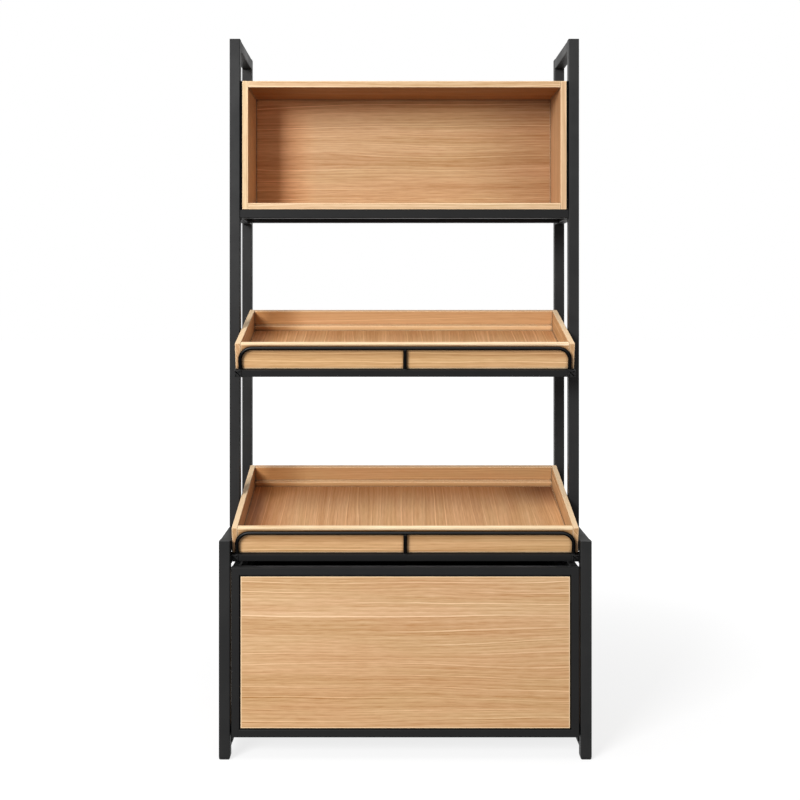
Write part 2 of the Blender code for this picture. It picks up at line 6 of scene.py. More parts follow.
import bmesh
import bpy
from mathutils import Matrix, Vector


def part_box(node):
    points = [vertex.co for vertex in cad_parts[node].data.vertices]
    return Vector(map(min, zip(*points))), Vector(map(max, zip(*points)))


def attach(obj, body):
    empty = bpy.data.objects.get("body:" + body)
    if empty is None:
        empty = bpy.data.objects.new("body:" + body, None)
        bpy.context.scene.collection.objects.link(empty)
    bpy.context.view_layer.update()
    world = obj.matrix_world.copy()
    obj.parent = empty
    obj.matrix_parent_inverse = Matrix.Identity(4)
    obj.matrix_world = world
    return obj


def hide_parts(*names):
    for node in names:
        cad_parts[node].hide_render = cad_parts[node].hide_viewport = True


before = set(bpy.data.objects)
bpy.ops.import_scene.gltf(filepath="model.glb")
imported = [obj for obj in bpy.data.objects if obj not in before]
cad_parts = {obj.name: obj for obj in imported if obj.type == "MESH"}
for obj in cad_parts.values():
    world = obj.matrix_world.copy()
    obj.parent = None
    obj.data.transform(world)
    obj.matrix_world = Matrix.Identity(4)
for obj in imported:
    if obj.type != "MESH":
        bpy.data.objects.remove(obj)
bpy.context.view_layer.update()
bpy.context.scene.view_settings.view_transform = "Standard"


# Welded steel frame: legs, posts and rails of 30 mm square tube. Mild steel, cut square,
# welded, ground flush and powder-coated black in one go. The coat is fine-textured, thins
# a little on the arrises and shines most where a surface turns away.

def linear(red, green=None, blue=None):
    """A screen colour of 0 to 255, or one grey, as the linear colour that nodes take."""
    def one(value):
        share = value / 255
        return share / 12.92 if share <= 0.04045 else ((share + 0.055) / 1.055) ** 2.4
    return (*map(one, (red, red, red) if green is None else (red, green, blue)), 1.0)


def add_node(tree, kind, inputs=None, **settings):
    """A node with its settings. Its inputs get values, or links from sockets or first outputs."""
    node = tree.nodes.new(kind)
    for name, value in settings.items():
        setattr(node, name, value)
    for name, value in (inputs or {}).items():
        if isinstance(value, bpy.types.Node):
            value = value.outputs[0]
        if isinstance(value, bpy.types.NodeSocket):
            tree.links.new(value, node.inputs[name])
        else:
            node.inputs[name].default_value = value
    return node


def math_node(tree, operation, first, second=0.0):
    """The result of a sum on two values."""
    return add_node(tree, "ShaderNodeMath", {0: first, 1: second}, operation=operation).outputs[0]


def times(tree, first, second):
    """The product of two values."""
    return math_node(tree, "MULTIPLY", first, second)


def vector_node(tree, operation, first, second=(0.0, 0.0, 0.0), output="Vector"):
    """The result of a sum on two vectors: a vector, or with Value, a number."""
    node = add_node(tree, "ShaderNodeVectorMath", {0: first, 1: second}, operation=operation)
    return node.outputs[output]


def dot(tree, vector, way):
    """How far a vector reaches along a way."""
    return vector_node(tree, "DOT_PRODUCT", vector, way, "Value")


def object_place(tree, output="Object"):
    """Where a point of the part is, or with Normal, which way its face looks."""
    return add_node(tree, "ShaderNodeTexCoord").outputs[output]


def feed(node, **values):
    """Links values to a node's inputs. Their names have underscores for spaces."""
    for name, value in values.items():
        node.id_data.links.new(value, node.inputs[name.replace("_", " ")])


def ramp(tree, value, low, high, to_low=0.0, to_high=1.0):
    """The value's stretch from low to high, eased and spread over another."""
    node = add_node(tree, "ShaderNodeMapRange", {"Value": value, "From Min": low, "From Max": high,
                    "To Min": to_low, "To Max": to_high}, interpolation_type="SMOOTHSTEP")
    return node.outputs["Result"]


def mix_colour(tree, share, first, second, blend="MIX"):
    """Two colours mixed."""
    node = add_node(tree, "ShaderNodeMix", data_type="RGBA", blend_type=blend,
                    inputs={0: share, 6: first, 7: second})
    return node.outputs[2]


def noise(tree, vector, scale, detail=2.0, roughness=0.5):
    """Noise from 0 to 1. The scale is one number, or one for each axis."""
    if isinstance(scale, tuple):
        vector, scale = vector_node(tree, "MULTIPLY", vector, scale), 1.0
    node = add_node(tree, "ShaderNodeTexNoise", {"Vector": vector, "Scale": scale, "Detail": detail,
                    "Roughness": roughness})
    return node.outputs["Fac"]


def new_group(name, inputs, outputs, kind="ShaderNodeTree"):
    """An empty node group with its sockets, and its input and output nodes."""
    group = bpy.data.node_groups.new(name, kind)
    for socket, holds, value in inputs:
        made = group.interface.new_socket(socket, in_out="INPUT", socket_type=f"NodeSocket{holds}")
        if value is not None:
            made.default_value = value
    for socket, holds in outputs:
        group.interface.new_socket(socket, in_out="OUTPUT", socket_type=f"NodeSocket{holds}")
    return group, group.nodes.new("NodeGroupInput").outputs, group.nodes.new("NodeGroupOutput")


def new_material(name, **constants):
    """A material with one Principled shader and plain values on its sockets."""
    material = bpy.data.materials.new(name)
    material.use_nodes = True
    surface = material.node_tree.nodes["Principled BSDF"]
    for socket, value in constants.items():
        surface.inputs[socket.replace("_", " ")].default_value = value
    return material, material.node_tree, surface


def relief(tree, surface, height, depth, rounding):
    """A bump on a surface whose sharp edges look rounded."""
    rounded = add_node(tree, "ShaderNodeBevel", {"Radius": rounding}, samples=4)
    bump = add_node(tree, "ShaderNodeBump", {"Height": height, "Distance": depth,
                    "Normal": rounded})
    feed(surface, Normal=bump.outputs[0])


# How near a point is to an arris, from 0 to 1.
ARRIS, given, made = new_group("arris", [("Width", "Float", 0.002)], [("Mask", "Float")])
turned = add_node(ARRIS, "ShaderNodeBevel", {"Radius": given["Width"]}, samples=6)
straight = add_node(ARRIS, "ShaderNodeNewGeometry")
alike = dot(ARRIS, turned, straight.outputs["Normal"])
feed(made, Mask=ramp(ARRIS, math_node(ARRIS, "SUBTRACT", 1.0, alike), 0.008, 0.09))

# The powder coat's colour, gloss and orange peel. Gap is painted shade: tight gaps and inside corners go
# black, as where little light reaches.
POWDER_COAT, given, made = new_group(
    "powder_coat",
    [("Vector", "Vector", None), ("Tone", "Color", linear(36)), ("Grain", "Float", 900.0),
     ("Arris", "Float", 0.0026)],
    [("Color", "Color"), ("Roughness", "Float"), ("Height", "Float"), ("Gap", "Float")])
tree, place = POWDER_COAT, given["Vector"]
peel = noise(tree, place, given["Grain"], 3.0, 0.6)
clouds = noise(tree, place, 9.0, 3.0)
flecks = ramp(tree, noise(tree, place, 2400.0, 1.0), 0.62, 0.74)
near_edge = add_node(tree, "ShaderNodeGroup", {"Width": given["Arris"]}, node_tree=ARRIS)
worn = times(tree, near_edge,
             ramp(tree, noise(tree, place, 60.0, 4.0), 0.35, 0.7, 0.35, 1.0))
coat = mix_colour(tree, times(tree, flecks, 0.5), given["Tone"], linear(58, 58, 60))
coat = mix_colour(tree, times(tree, worn, 0.7), coat, linear(13, 13, 14))
coat = mix_colour(tree, ramp(tree, clouds, 0.3, 0.7, 0.0, 0.4), coat, linear(24, 24, 25))
# Painted shade: black where other surfaces close in within 14 mm.
open_air = add_node(tree, "ShaderNodeAmbientOcclusion", {"Distance": 0.014}, samples=8)
gap_shade = ramp(tree, open_air.outputs["AO"], 0.30, 0.80, 1.0, 0.0)
feed(made, Color=mix_colour(tree, gap_shade, coat, linear(2)), Roughness=ramp(tree, clouds, 0.2, 0.8, 0.42, 0.54),
     Height=peel, Gap=gap_shade)


def finish_with(group, tree, surface, depth, rounding, **inputs):
    """A group's colour, roughness and relief for a material's shader. Returns the group's node."""
    finish = add_node(tree, "ShaderNodeGroup", inputs, node_tree=group)
    feed(surface, Base_Color=finish.outputs["Color"], Roughness=finish.outputs["Roughness"])
    relief(tree, surface, finish.outputs["Height"], depth, rounding)
    return finish


def powder_coated(name, tone, grain=900.0, **constants):
    """A material for steel under a textured powder coat."""
    material, tree, surface = new_material(name, Specular_IOR_Level=0.11, **constants)
    finish = finish_with(POWDER_COAT, tree, surface, 0.00006, 0.0008, Vector=object_place(tree), Tone=tone,
                         Grain=grain)
    # Painted shade: the gap mask also takes the shine away in tight gaps, so that they stay black.
    if "Metallic" not in constants:
        feed(surface, Metallic=finish.outputs["Gap"])
    return material


def finish_nodes(material, *names):
    """Gives CAD nodes their finish."""
    for name in names:
        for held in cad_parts[name].material_slots:
            held.link = "OBJECT"
            held.material = material


def rising(way, low, high, output="Object"):
    """A mask that rises along a way through the part, or with Normal, by where its faces look."""
    return lambda tree: ramp(tree, dot(tree, object_place(tree, output), way), low, high)


def tone_where(material, mask, tone):
    """Another tone for what a mask picks out."""
    tree = material.node_tree
    finish = next(node for node in tree.nodes if node.type == "GROUP")
    socket = finish.inputs["Tone"]
    below = socket.links[0].from_socket if socket.links else tuple(socket.default_value)
    feed(finish, Tone=mix_colour(tree, mask(tree), below, linear(*tone)))


SIDEWAYS, BACKWARD, UP = Vector((1, 0, 0)), Vector((0, 1, 0)), Vector((0, 0, 1))
SIDES = ("left", "right")
STEEL = powder_coated("powder_coated_steel", linear(41))
tone_where(STEEL, rising(UP, 0.5, 2.0), (52, 52, 52))      # painted highlight: a little paler towards the top, where the light is stronger
SHADED_STEEL = powder_coated("powder_coated_dark", linear(31))     # painted shade: a darker copy of the coat for the thinner tubes, which sit in shade under the trays, the cubby and the bin
for side in SIDES:
    finish_nodes(STEEL, *(f"{end}_{side}" for end in (
        "leg_front", "leg_rear", "post_front", "post_rear", "bottom_rail", "top_rail", "crown_rail")))
finish_nodes(STEEL, "bottom_rail_rear", "top_rail_rear")
finish_nodes(SHADED_STEEL, *(f"cubby_rail_{side}" for side in (*SIDES, "front", "rear")))


# Foot glides: moulded black plastic with a dull, finely textured face. Their stems are pressed
# into the open ends of the legs.

def speckled(name, scale, detail, spread, colours, gloss, depth, rounding, **constants):
    """A material with one noise in its colour, roughness and relief."""
    material, tree, surface = new_material(name, **constants)
    speck = noise(tree, object_place(tree), scale, detail)
    share = ramp(tree, speck, *spread) if spread else speck
    feed(surface, Base_Color=mix_colour(tree, share, *colours), Roughness=ramp(tree, speck, 0.3, 0.7, *gloss))
    relief(tree, surface, speck, depth, rounding)
    return material


PLASTIC = speckled("moulded_black_plastic", 1400.0, 2.0, (0.35, 0.75), (linear(10), linear(22, 22, 23)),
                   (0.5, 0.66), 0.00004, 0.0006, Specular_IOR_Level=0.25)
for end in ("front", "rear"):
    for side in SIDES:
        finish_nodes(PLASTIC, f"foot_glide_{end}_{side}")


# Cubby: an open box of light oak-grained board with a paler edge band, screwed to the
# rails under it. The grain runs along each board. Its back is let in between the sides.

# The printed grain: X runs along it and Y across. Long lines follow one gently bent field, so
# they swell, pinch and close in arches together, as they do in a sawn board.
OAK_FOIL, given, made = new_group(
    "oak_foil",
    [("Vector", "Vector", None), ("Tone", "Color", linear(209, 166, 122)), ("Depth", "Float", 1.0),
     ("Band", "Float", 0.0), ("Arris", "Float", 0.0055)],
    [("Color", "Color"), ("Roughness", "Float"), ("Height", "Float")])


def bent(tree, vector):
    """The vector with its Y moved by a slowly bent field, as growth rings bend."""
    swells = noise(tree, vector, (1.6, 9.0, 9.0), 1.0)
    waves = noise(tree, vector, (7.0, 42.0, 42.0), 2.0)
    shift = math_node(tree, "ADD", times(tree, math_node(tree, "SUBTRACT", swells, 0.5), 0.028),
                      times(tree, math_node(tree, "SUBTRACT", waves, 0.5), 0.0046))
    aside = add_node(tree, "ShaderNodeCombineXYZ", {"Y": shift})
    return vector_node(tree, "ADD", vector, aside)


def grain_layer(tree, vector, along, across, detail=1.0):
    """Noise in long streaks, centred on nought: how many per metre along and across."""
    return math_node(tree, "SUBTRACT", noise(tree, vector, (along, across, 0.4 * across), detail), 0.5)


def summed(tree, *parts):
    """The sum of weighted values, given as pairs."""
    total = 0.0
    for value, weight in parts:
        total = math_node(tree, "ADD", times(tree, value, weight), total)
    return total


def ring_phase(tree, vector, spacing, drift):
    """Which growth ring a point is in. It counts up across the grain and wanders along it."""
    place = add_node(tree, "ShaderNodeSeparateXYZ", {0: vector}).outputs
    wander = noise(tree, vector, (0.9, 7.0, 5.0), 1.0)
    return summed(tree, (place["Y"], 1 / spacing), (place["Z"], 0.7 / spacing), (wander, drift))


def ring_line(tree, phase, middle, half):
    """A thin line in each ring, from 0 to 1."""
    across = math_node(tree, "FRACT", phase)
    away = math_node(tree, "ABSOLUTE", math_node(tree, "SUBTRACT", across, middle))
    return ramp(tree, away, 0.3 * half, 1.3 * half, 1.0, 0.0)


tree = OAK_FOIL
rings = bent(tree, given["Vector"])
broad = grain_layer(tree, rings, 0.5, 24.0)
middling = grain_layer(tree, rings, 0.9, 62.0)
narrow = grain_layer(tree, rings, 3.2, 160.0)
fine = grain_layer(tree, rings, 20.0, 360.0, 2.0)
pores = ramp(tree, noise(tree, rings, (45.0, 1500.0, 500.0), 1.0), 0.62, 0.74)
wide_rings = ring_phase(tree, rings, 0.031, 2.2)
thin_rings = ring_phase(tree, rings, 0.0105, 5.5)
fade = ramp(tree, noise(tree, rings, (1.1, 30.0, 20.0), 1.0), 0.33, 0.52)
early = times(tree, ring_line(tree, wide_rings, 0.50, 0.050), fade)
late = times(tree, ring_line(tree, wide_rings, 0.60, 0.050), fade)
growth = math_node(tree, "SUBTRACT", 0.5, math_node(tree, "FRACT", thin_rings))
shade = summed(tree, (broad, 0.62), (middling, 0.36), (growth, 0.24), (narrow, 0.34), (fine, 0.70),
               (early, 0.46), (late, -0.20), (pores, -0.20), (1.0, 0.03))
shade = times(tree, shade, given["Depth"])
level = add_node(tree, "ShaderNodeCombineColor", {
    channel: summed(tree, (shade, weight), (1.0, 1.0))
    for channel, weight in (("Red", 0.66), ("Green", 1.0), ("Blue", 1.48))})
wood = mix_colour(tree, 1.0, given["Tone"], level, "MULTIPLY")
blush = ramp(tree, noise(tree, rings, (2.6, 20.0, 14.0), 2.0), 0.36, 0.64)
blush = mix_colour(tree, blush, (0.995, 1.012, 1.00, 1.0), (1.01, 0.986, 0.99, 1.0))
wood = mix_colour(tree, 1.0, wood, blush, "MULTIPLY")
near_edge = add_node(tree, "ShaderNodeGroup", {"Width": given["Arris"]}, node_tree=ARRIS)
wood = mix_colour(tree, given["Band"], wood, linear(248, 216, 174))
# Painted highlight: the arrises paler, as where an eased edge catches the light.
wood = mix_colour(tree, times(tree, near_edge, 0.95), wood, linear(250, 218, 176))
open_air = add_node(tree, "ShaderNodeAmbientOcclusion", {"Distance": 0.010}, samples=6)
corner_shade = ramp(tree, open_air.outputs["AO"], 0.42, 0.86, 0.62, 0.0)
wood = mix_colour(tree, corner_shade, wood, linear(62, 30, 12))       # painted shade: darker where boards meet and in other tight corners, within 10 mm
feed(made, Color=wood, Roughness=ramp(tree, narrow, -0.25, 0.25, 0.56, 0.44),
     Height=math_node(tree, "SUBTRACT", fine, pores))


def oak_board(name, turn, band_way=None, tone=(209, 166, 122), origin=(0.0, 0.0, 0.0), depth=1.0,
              band_share=0.95):
    """A material for boards whose grain runs along X once they are turned. The edges that face
    band_way and the opposite way have the paler edge band."""
    material, tree, surface = new_material(name, Specular_IOR_Level=0.35)
    turned = add_node(tree, "ShaderNodeMapping", {"Vector": object_place(tree), "Location": origin,
                      "Rotation": turn}, vector_type="POINT")
    finish = finish_with(OAK_FOIL, tree, surface, 0.00005, 0.0007, Vector=turned,
                         Tone=linear(*tone), Depth=depth)
    if band_way is not None:
        facing = math_node(tree, "ABSOLUTE", dot(tree, object_place(tree, "Normal"), band_way))
        feed(finish, Band=ramp(tree, facing, 0.85, 0.95, 0.0, band_share))
    return material


QUARTER = math.radians(90)
GRAIN_ACROSS = (QUARTER, 0.0, 0.0)     # along X; the board's Z becomes the foil's Y
GRAIN_UPRIGHT = (0.0, QUARTER, 0.0)    # along Z

cubby_across = oak_board("oak_cubby_across", GRAIN_ACROSS, BACKWARD, (204, 168, 127), band_share=0.08)
# Painted shade: the undersides of the top and bottom boards darker and warmer.
tone_where(cubby_across, rising(UP, -0.8, -0.9, "Normal"), (158, 101, 54))
cubby_upright = oak_board("oak_cubby_left", GRAIN_UPRIGHT, BACKWARD, (216, 167, 119), band_share=0.15)
tone_where(cubby_upright, rising(BACKWARD, -0.8, -0.9, "Normal"), (205, 171, 126))
# Painted shade: the right board is a darker copy of the left one.
cubby_right = oak_board("oak_cubby_right", GRAIN_UPRIGHT, BACKWARD, (186, 142, 101), (0.3, 0.0, 0.1),
                        band_share=0.35)
cubby_panel = oak_board("oak_cubby_back", GRAIN_ACROSS, tone=(193, 152, 108), origin=(0.3, 0.2, 0.1))
panel_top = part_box("cubby_back")[1][2]
# Painted shade on the back: warmer under the top board and at the left, where the boards' shadows fall, and
# darker towards the right end.
tone_where(cubby_panel, rising(UP, panel_top - 0.11, panel_top - 0.03), (203, 150, 101))
tone_where(cubby_panel, rising(SIDEWAYS, -0.25, -0.37), (222, 160, 106))
tone_where(cubby_panel, rising(SIDEWAYS, 0.12, 0.46), (163, 120, 81))
finish_nodes(cubby_across, "cubby_top", "cubby_bottom")
finish_nodes(cubby_upright, "cubby_left")
finish_nodes(cubby_right, "cubby_right")
finish_nodes(cubby_panel, "cubby_back")


# Tray frames: 20 mm square tube, tilted, and coated as the rest. Their side tubes are welded to
# the posts, and the lower frame's to the front legs too.

TRAYS = ("mid_tray", "lower_tray")
TRAY_TILT = math.radians(15)
TRAY_TUBE = 0.020
for tray in TRAYS:
    finish_nodes(SHADED_STEEL, *(f"{tray}_frame_{part}" for part in (*SIDES, "front", "rear")),
                 f"{tray}_guard")    # the bars below replace it


# Trays: oak-grained boards, with a paler band over their top edges. The walls' grain runs along
# them, the floor's front to back. Each tray lies on its frame and is screwed to it from below.

UP_SLOPE = Vector((0.0, math.cos(TRAY_TILT), math.sin(TRAY_TILT)))
OFF_SLOPE = Vector((0.0, -math.sin(TRAY_TILT), math.cos(TRAY_TILT)))
LEDGE_TOP = 0.0293     # from the frame's top, square to the slope
TONES = {              # the ledge, the back over it, and the floor's front, rear and left; the floor's rear and left tones are painted shade
    "mid_tray": ((225, 186, 138), (204, 157, 111), (213, 163, 113), (188, 138, 91), (197, 138, 87)),
    "lower_tray": ((196, 152, 104), (187, 142, 96), (213, 162, 111), (163, 113, 71), (184, 121, 69))}


def on_tray(tray, across, along, above):
    """A point in a tray's tilted axes, which start at the front top edge of its frame."""
    low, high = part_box(f"{tray}_frame_left")
    front_y, front_z = low[1], low[2] + TRAY_TUBE * math.cos(TRAY_TILT)
    return Vector((across, front_y + along * math.cos(TRAY_TILT) - above * math.sin(TRAY_TILT),
                   front_z + along * math.sin(TRAY_TILT) + above * math.cos(TRAY_TILT)))


def above_frame(tray, low, high):
    """A mask that rises between two heights over a tray's frame, square to the slope."""
    foot = on_tray(tray, 0.0, 0.0, 0.0).dot(OFF_SLOPE)
    return rising(OFF_SLOPE, foot + low, foot + high)


def where_either(first, second):
    """A mask for what either of two masks picks out."""
    return lambda tree: math_node(tree, "MAXIMUM", first(tree), second(tree))


def where_both(first, second):
    """A mask for what two masks share."""
    return lambda tree: times(tree, first(tree), second(tree))


sides = oak_board("oak_tray_sides", (-TRAY_TILT, 0.0, QUARTER), OFF_SLOPE, (204, 157, 109))
# Painted shade: the side boards darker towards the rear, and the right boards' inner faces darker.
tone_where(sides, rising(BACKWARD, 0.06, 0.20), (176, 126, 80))
tone_where(sides, where_both(rising(SIDEWAYS, 0.30, 0.35), rising(SIDEWAYS, -0.8, -0.9, "Normal")),
           (188, 145, 99))
for tray, (ledge_tone, back_tone, front_tone, rear_shade, left_shade) in TONES.items():
    finish_nodes(sides, f"{tray}_side_left", f"{tray}_side_right")

    back = oak_board(f"oak_{tray}_back", GRAIN_ACROSS, OFF_SLOPE, ledge_tone, (0.0, 0.3, 0.1), 0.5,
                     band_share=0.3)
    over_ledge = above_frame(tray, LEDGE_TOP + 0.0002, LEDGE_TOP + 0.0012)
    tone_where(back, where_either(over_ledge, rising(UP_SLOPE, 0.5, 0.9, "Normal")), back_tone)
    # Painted shade: the back warmer and darker at its left, where the post's shadow falls.
    tone_where(back, rising(SIDEWAYS, -0.27, -0.40), (203, 146, 92))
    finish_nodes(back, f"{tray}_back")

    front = oak_board(f"oak_{tray}_front", GRAIN_ACROSS, OFF_SLOPE, (222, 175, 123), (0.2, 0.1, 0.4), 0.8,
                      band_share=0.05)
    tone_where(front, above_frame(tray, 0.026, 0.042), (193, 146, 97))      # painted shadow of the guard's top bar: its upper half darker
    # Painted highlights: pale strips along the front's top and bottom arrises.
    arris_highlights = where_either(above_frame(tray, 0.0672, 0.0690), above_frame(tray, 0.0040, 0.0026))
    tone_where(front, arris_highlights, (250, 218, 174))
    finish_nodes(front, f"{tray}_front")

    floor = oak_board(f"oak_{tray}_floor", (-TRAY_TILT, 0.0, QUARTER), None, front_tone, depth=0.8)
    floor_front, floor_rear = (corner[1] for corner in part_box(f"{tray}_bottom"))
    floor_depth = floor_rear - floor_front
    # Painted shade: the floor darker towards the rear, and warmer and darker at the left, where the shadow of
    # the side falls.
    tone_where(floor, rising(BACKWARD, floor_front + 0.45 * floor_depth, floor_rear), rear_shade)
    tone_where(floor, rising(SIDEWAYS, -0.30, -0.43), left_shade)
    # Painted shade: a dark rear right corner on the lower floor.
    if tray == "lower_tray":
        rear_part = rising(BACKWARD, floor_front + 0.60 * floor_depth, floor_rear)
        tone_where(floor, where_both(rear_part, rising(SIDEWAYS, 0.22, 0.44)), (108, 67, 40))
    finish_nodes(floor, f"{tray}_bottom")


# Bin: a welded frame of 22 mm tube on nylon strips. Its front and sides are oak-grained
# board, and its bottom and back, which only show from above, black-faced board.

BIN_TUBE = 0.022
GROOVE = 0.003         # the black line around a panel
GROOVE_DEPTH = 0.005


def blackened(material, node, outward):
    """Painted shade: the groove around a set-in panel black, as a deep shadow, with a painted highlight along
    the edge of the panel's face; and black foil on its inner face.
    """
    tree = material.node_tree
    surface = tree.nodes["Principled BSDF"]
    low, high = (Vector(corner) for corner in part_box(node))
    reach = (high - low) / 2
    offset = vector_node(tree, "SUBTRACT", object_place(tree), (low + high) / 2)
    parts = add_node(tree, "ShaderNodeSeparateXYZ", {0: offset}).outputs
    face = max(range(3), key=lambda axis: abs(outward[axis]))
    black, rim_highlight = 0.0, 0.0
    for axis in range(3):
        if axis != face:
            edge = reach[axis] - GROOVE + 0.0002
            away = math_node(tree, "ABSOLUTE", parts[axis])
            black = math_node(tree, "MAXIMUM", math_node(tree, "GREATER_THAN", away, edge), black)
            rim_highlight = math_node(tree, "MAXIMUM", ramp(tree, away, edge - 0.0032, edge - 0.0016), rim_highlight)
    inner = math_node(tree, "LESS_THAN", times(tree, parts[face], outward[face]),
                      reach[face] - GROOVE_DEPTH + 0.0002)
    black = math_node(tree, "MAXIMUM", inner, black)
    oak = surface.inputs["Base Color"].links[0].from_socket
    # Painted highlight: a pale rim along the edge of the panel's face.
    oak = mix_colour(tree, times(tree, rim_highlight, 0.8), oak, linear(250, 216, 172))
    feed(surface, Base_Color=mix_colour(tree, black, oak, linear(5)))


bin_across = oak_board("oak_bin_across", GRAIN_ACROSS, None, (213, 171, 127), (0.7, 0.4, 0.2))
# Painted shade: the front panel darker towards its bottom.
tone_where(bin_across, rising(UP, 0.44, 0.12), (206, 161, 114))
blackened(bin_across, "bin_front_panel", (0, -1, 0))
finish_nodes(SHADED_STEEL, "bin_front_frame", "bin_side_frame_left", "bin_side_frame_right", "bin_rear_rail")
finish_nodes(bin_across, "bin_front_panel")
for side, sign in (("left", -1), ("right", 1)):
    bin_side = oak_board(f"oak_bin_{side}", (0.0, QUARTER, QUARTER), None, (209, 166, 122))
    blackened(bin_side, f"bin_side_panel_{side}", (sign, 0, 0))
    finish_nodes(bin_side, f"bin_side_panel_{side}")

# The bin's bottom and back are board with a black paper foil, faintly mottled and scuffed.
BLACK_BOARD, tree, surface = new_material("black_faced_board", Specular_IOR_Level=0.12)
place = object_place(tree)
mottle = noise(tree, place, 26.0, 4.0, 0.6)
scuff_and_highlight = ramp(tree, noise(tree, place, (60.0, 14.0, 60.0), 4.0, 0.6), 0.58, 0.8)
foil = mix_colour(tree, mottle, linear(20, 20, 21), linear(31, 31, 32))
feed(surface, Base_Color=mix_colour(tree, times(tree, scuff_and_highlight, 0.35), foil, linear(48, 48, 50)),
     Roughness=ramp(tree, mottle, 0.3, 0.7, 0.58, 0.72))
relief(tree, surface, noise(tree, place, 700.0, 2.0), 0.00004, 0.0007)
finish_nodes(BLACK_BOARD, "bin_back_panel", "bin_bottom")

NYLON = speckled("natural_nylon", (900.0, 12.0, 900.0), 3.0, (0.3, 0.75),
                 (linear(226, 222, 208), linear(196, 190, 174)), (0.34, 0.52), 0.00003, 0.0005,
                 Specular_IOR_Level=0.5)
finish_nodes(NYLON, "bin_glide_strip_left", "bin_glide_strip_right")


# Guards: a hoop and a middle strut of 10 mm round bar, bent cold and welded on the front of
# each tray's frame. Coated with the frame. They stand for the faceted guards of the CAD.

BAR_RADIUS = 0.005
STRUT_RADIUS = 0.0048
HOOP_FOOT = 0.454      # from the middle to a foot's centre
HOOP_TOP = 0.0616      # from the frame's top to the bar's centre
HOOP_CORNER = 0.035
HOOP_SETBACK = 0.0055  # from the frame's front to the bar's centre
FIT = 0.0003           # between metal pieces that are welded


def new_object(name, data):
    """An object in the scene."""
    thing = bpy.data.objects.new(name, data)
    bpy.context.scene.collection.objects.link(thing)
    return thing


def new_tree(name, inputs):
    """An empty Geometry Nodes tree with named inputs, then its inputs and its output node."""
    shape = ("Geometry", "Geometry")
    return new_group(name, [(*shape, None), *inputs], [shape], "GeometryNodeTree")


def end_tree(tree, shape, finish, result):
    """Ends a tree in plain geometry of one material."""
    plain = add_node(tree, "GeometryNodeRealizeInstances", {"Geometry": shape})
    painted = add_node(tree, "GeometryNodeSetMaterial", {"Geometry": plain, "Material": finish})
    tree.links.new(painted.outputs[0], result.inputs[0])


def guide_mesh(points, edges=(), **attributes):
    """A mesh of points and edges for a tree to work on, with an attribute for each point."""
    mesh = bpy.data.meshes.new("guide")
    mesh.from_pydata(points, edges, [])
    for name, values in attributes.items():
        flat = not hasattr(values[0], "__len__")
        made = mesh.attributes.new(name, "FLOAT" if flat else "FLOAT_VECTOR", "POINT")
        made.data.foreach_set("value" if flat else "vector",
                              values if flat else [part for value in values for part in value])
    return mesh


def grown(guide, tree, **values):
    """The plain mesh that a tree makes from a guide."""
    helper = new_object("guide", guide)
    modifier = helper.modifiers.new("shape", "NODES")
    modifier.node_group = tree
    for socket in tree.interface.items_tree:
        if socket.in_out == "INPUT" and socket.name in values:
            modifier[socket.identifier] = values[socket.name]
    graph = bpy.context.evaluated_depsgraph_get()
    mesh = bpy.data.meshes.new_from_object(helper.evaluated_get(graph), preserve_all_data_layers=True,
                                           depsgraph=graph)
    bpy.data.objects.remove(helper)
    return mesh


def add_piece(name, mesh, body, smooth=40):
    """A finished piece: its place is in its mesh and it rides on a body."""
    mesh.name = name
    mesh.shade_smooth()
    mesh.set_sharp_from_angle(angle=math.radians(smooth))
    piece = new_object(name, mesh)
    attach(piece, body)
    return piece


ROUND_BAR, given, made = new_tree("bent_round_bar", [
    ("Corner", "Float", HOOP_CORNER), ("Steps", "Int", 14), ("Sides", "Int", 24),
    ("Finish", "Material", None)])
tree = ROUND_BAR
radius = add_node(tree, "GeometryNodeInputNamedAttribute", {"Name": "bar_radius"}, data_type="FLOAT")
route = add_node(tree, "GeometryNodeMeshToCurve", {"Mesh": given["Geometry"]})
bends = add_node(tree, "GeometryNodeFilletCurve", {"Curve": route, "Count": given["Steps"],
                 "Radius": given["Corner"], "Limit Radius": True}, mode="POLY")
ring = add_node(tree, "GeometryNodeCurvePrimitiveCircle", {"Resolution": given["Sides"], "Radius": 1.0})
bar = add_node(tree, "GeometryNodeCurveToMesh", {"Curve": bends,
               "Profile Curve": ring, "Scale": radius, "Fill Caps": True})
end_tree(tree, bar, given["Finish"], made)

GUARD_STEEL = powder_coated("guard_steel_highlit", linear(12), 700.0, Metallic=1.0, Specular_Tint=linear(14))
tree = GUARD_STEEL.node_tree
surface = tree.nodes["Principled BSDF"]
# Painted highlight: the faces of the bars that look forward and a little up are paler.
scuff_and_highlight = ramp(tree, dot(tree, object_place(tree, "Normal"), (0.0, -0.94, 0.34)), 0.82, 0.97)
coat = surface.inputs["Base Color"].links[0].from_socket
feed(surface, Base_Color=mix_colour(tree, scuff_and_highlight, coat, linear(42)))

for tray in TRAYS:
    hoop = [on_tray(tray, across, HOOP_SETBACK, above) for across, above in (
        (-HOOP_FOOT, FIT), (-HOOP_FOOT, HOOP_TOP), (HOOP_FOOT, HOOP_TOP), (HOOP_FOOT, FIT))]
    strut = [on_tray(tray, 0.0, HOOP_SETBACK, above) for above in (FIT, HOOP_TOP)]
    guide = guide_mesh(hoop + strut, [(0, 1), (1, 2), (2, 3), (4, 5)],
                       bar_radius=[BAR_RADIUS] * 4 + [STRUT_RADIUS] * 2)
    guard = add_piece(f"{tray}_guard_bars", grown(guide, ROUND_BAR, Finish=GUARD_STEEL), "rack")
    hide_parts(f"{tray}_guard")


# Welds: fillet beads that are left in the frame's inside corners, where a grinder doesn't
# reach. Rippled, a little uneven, and under the same black coat as the tubes.

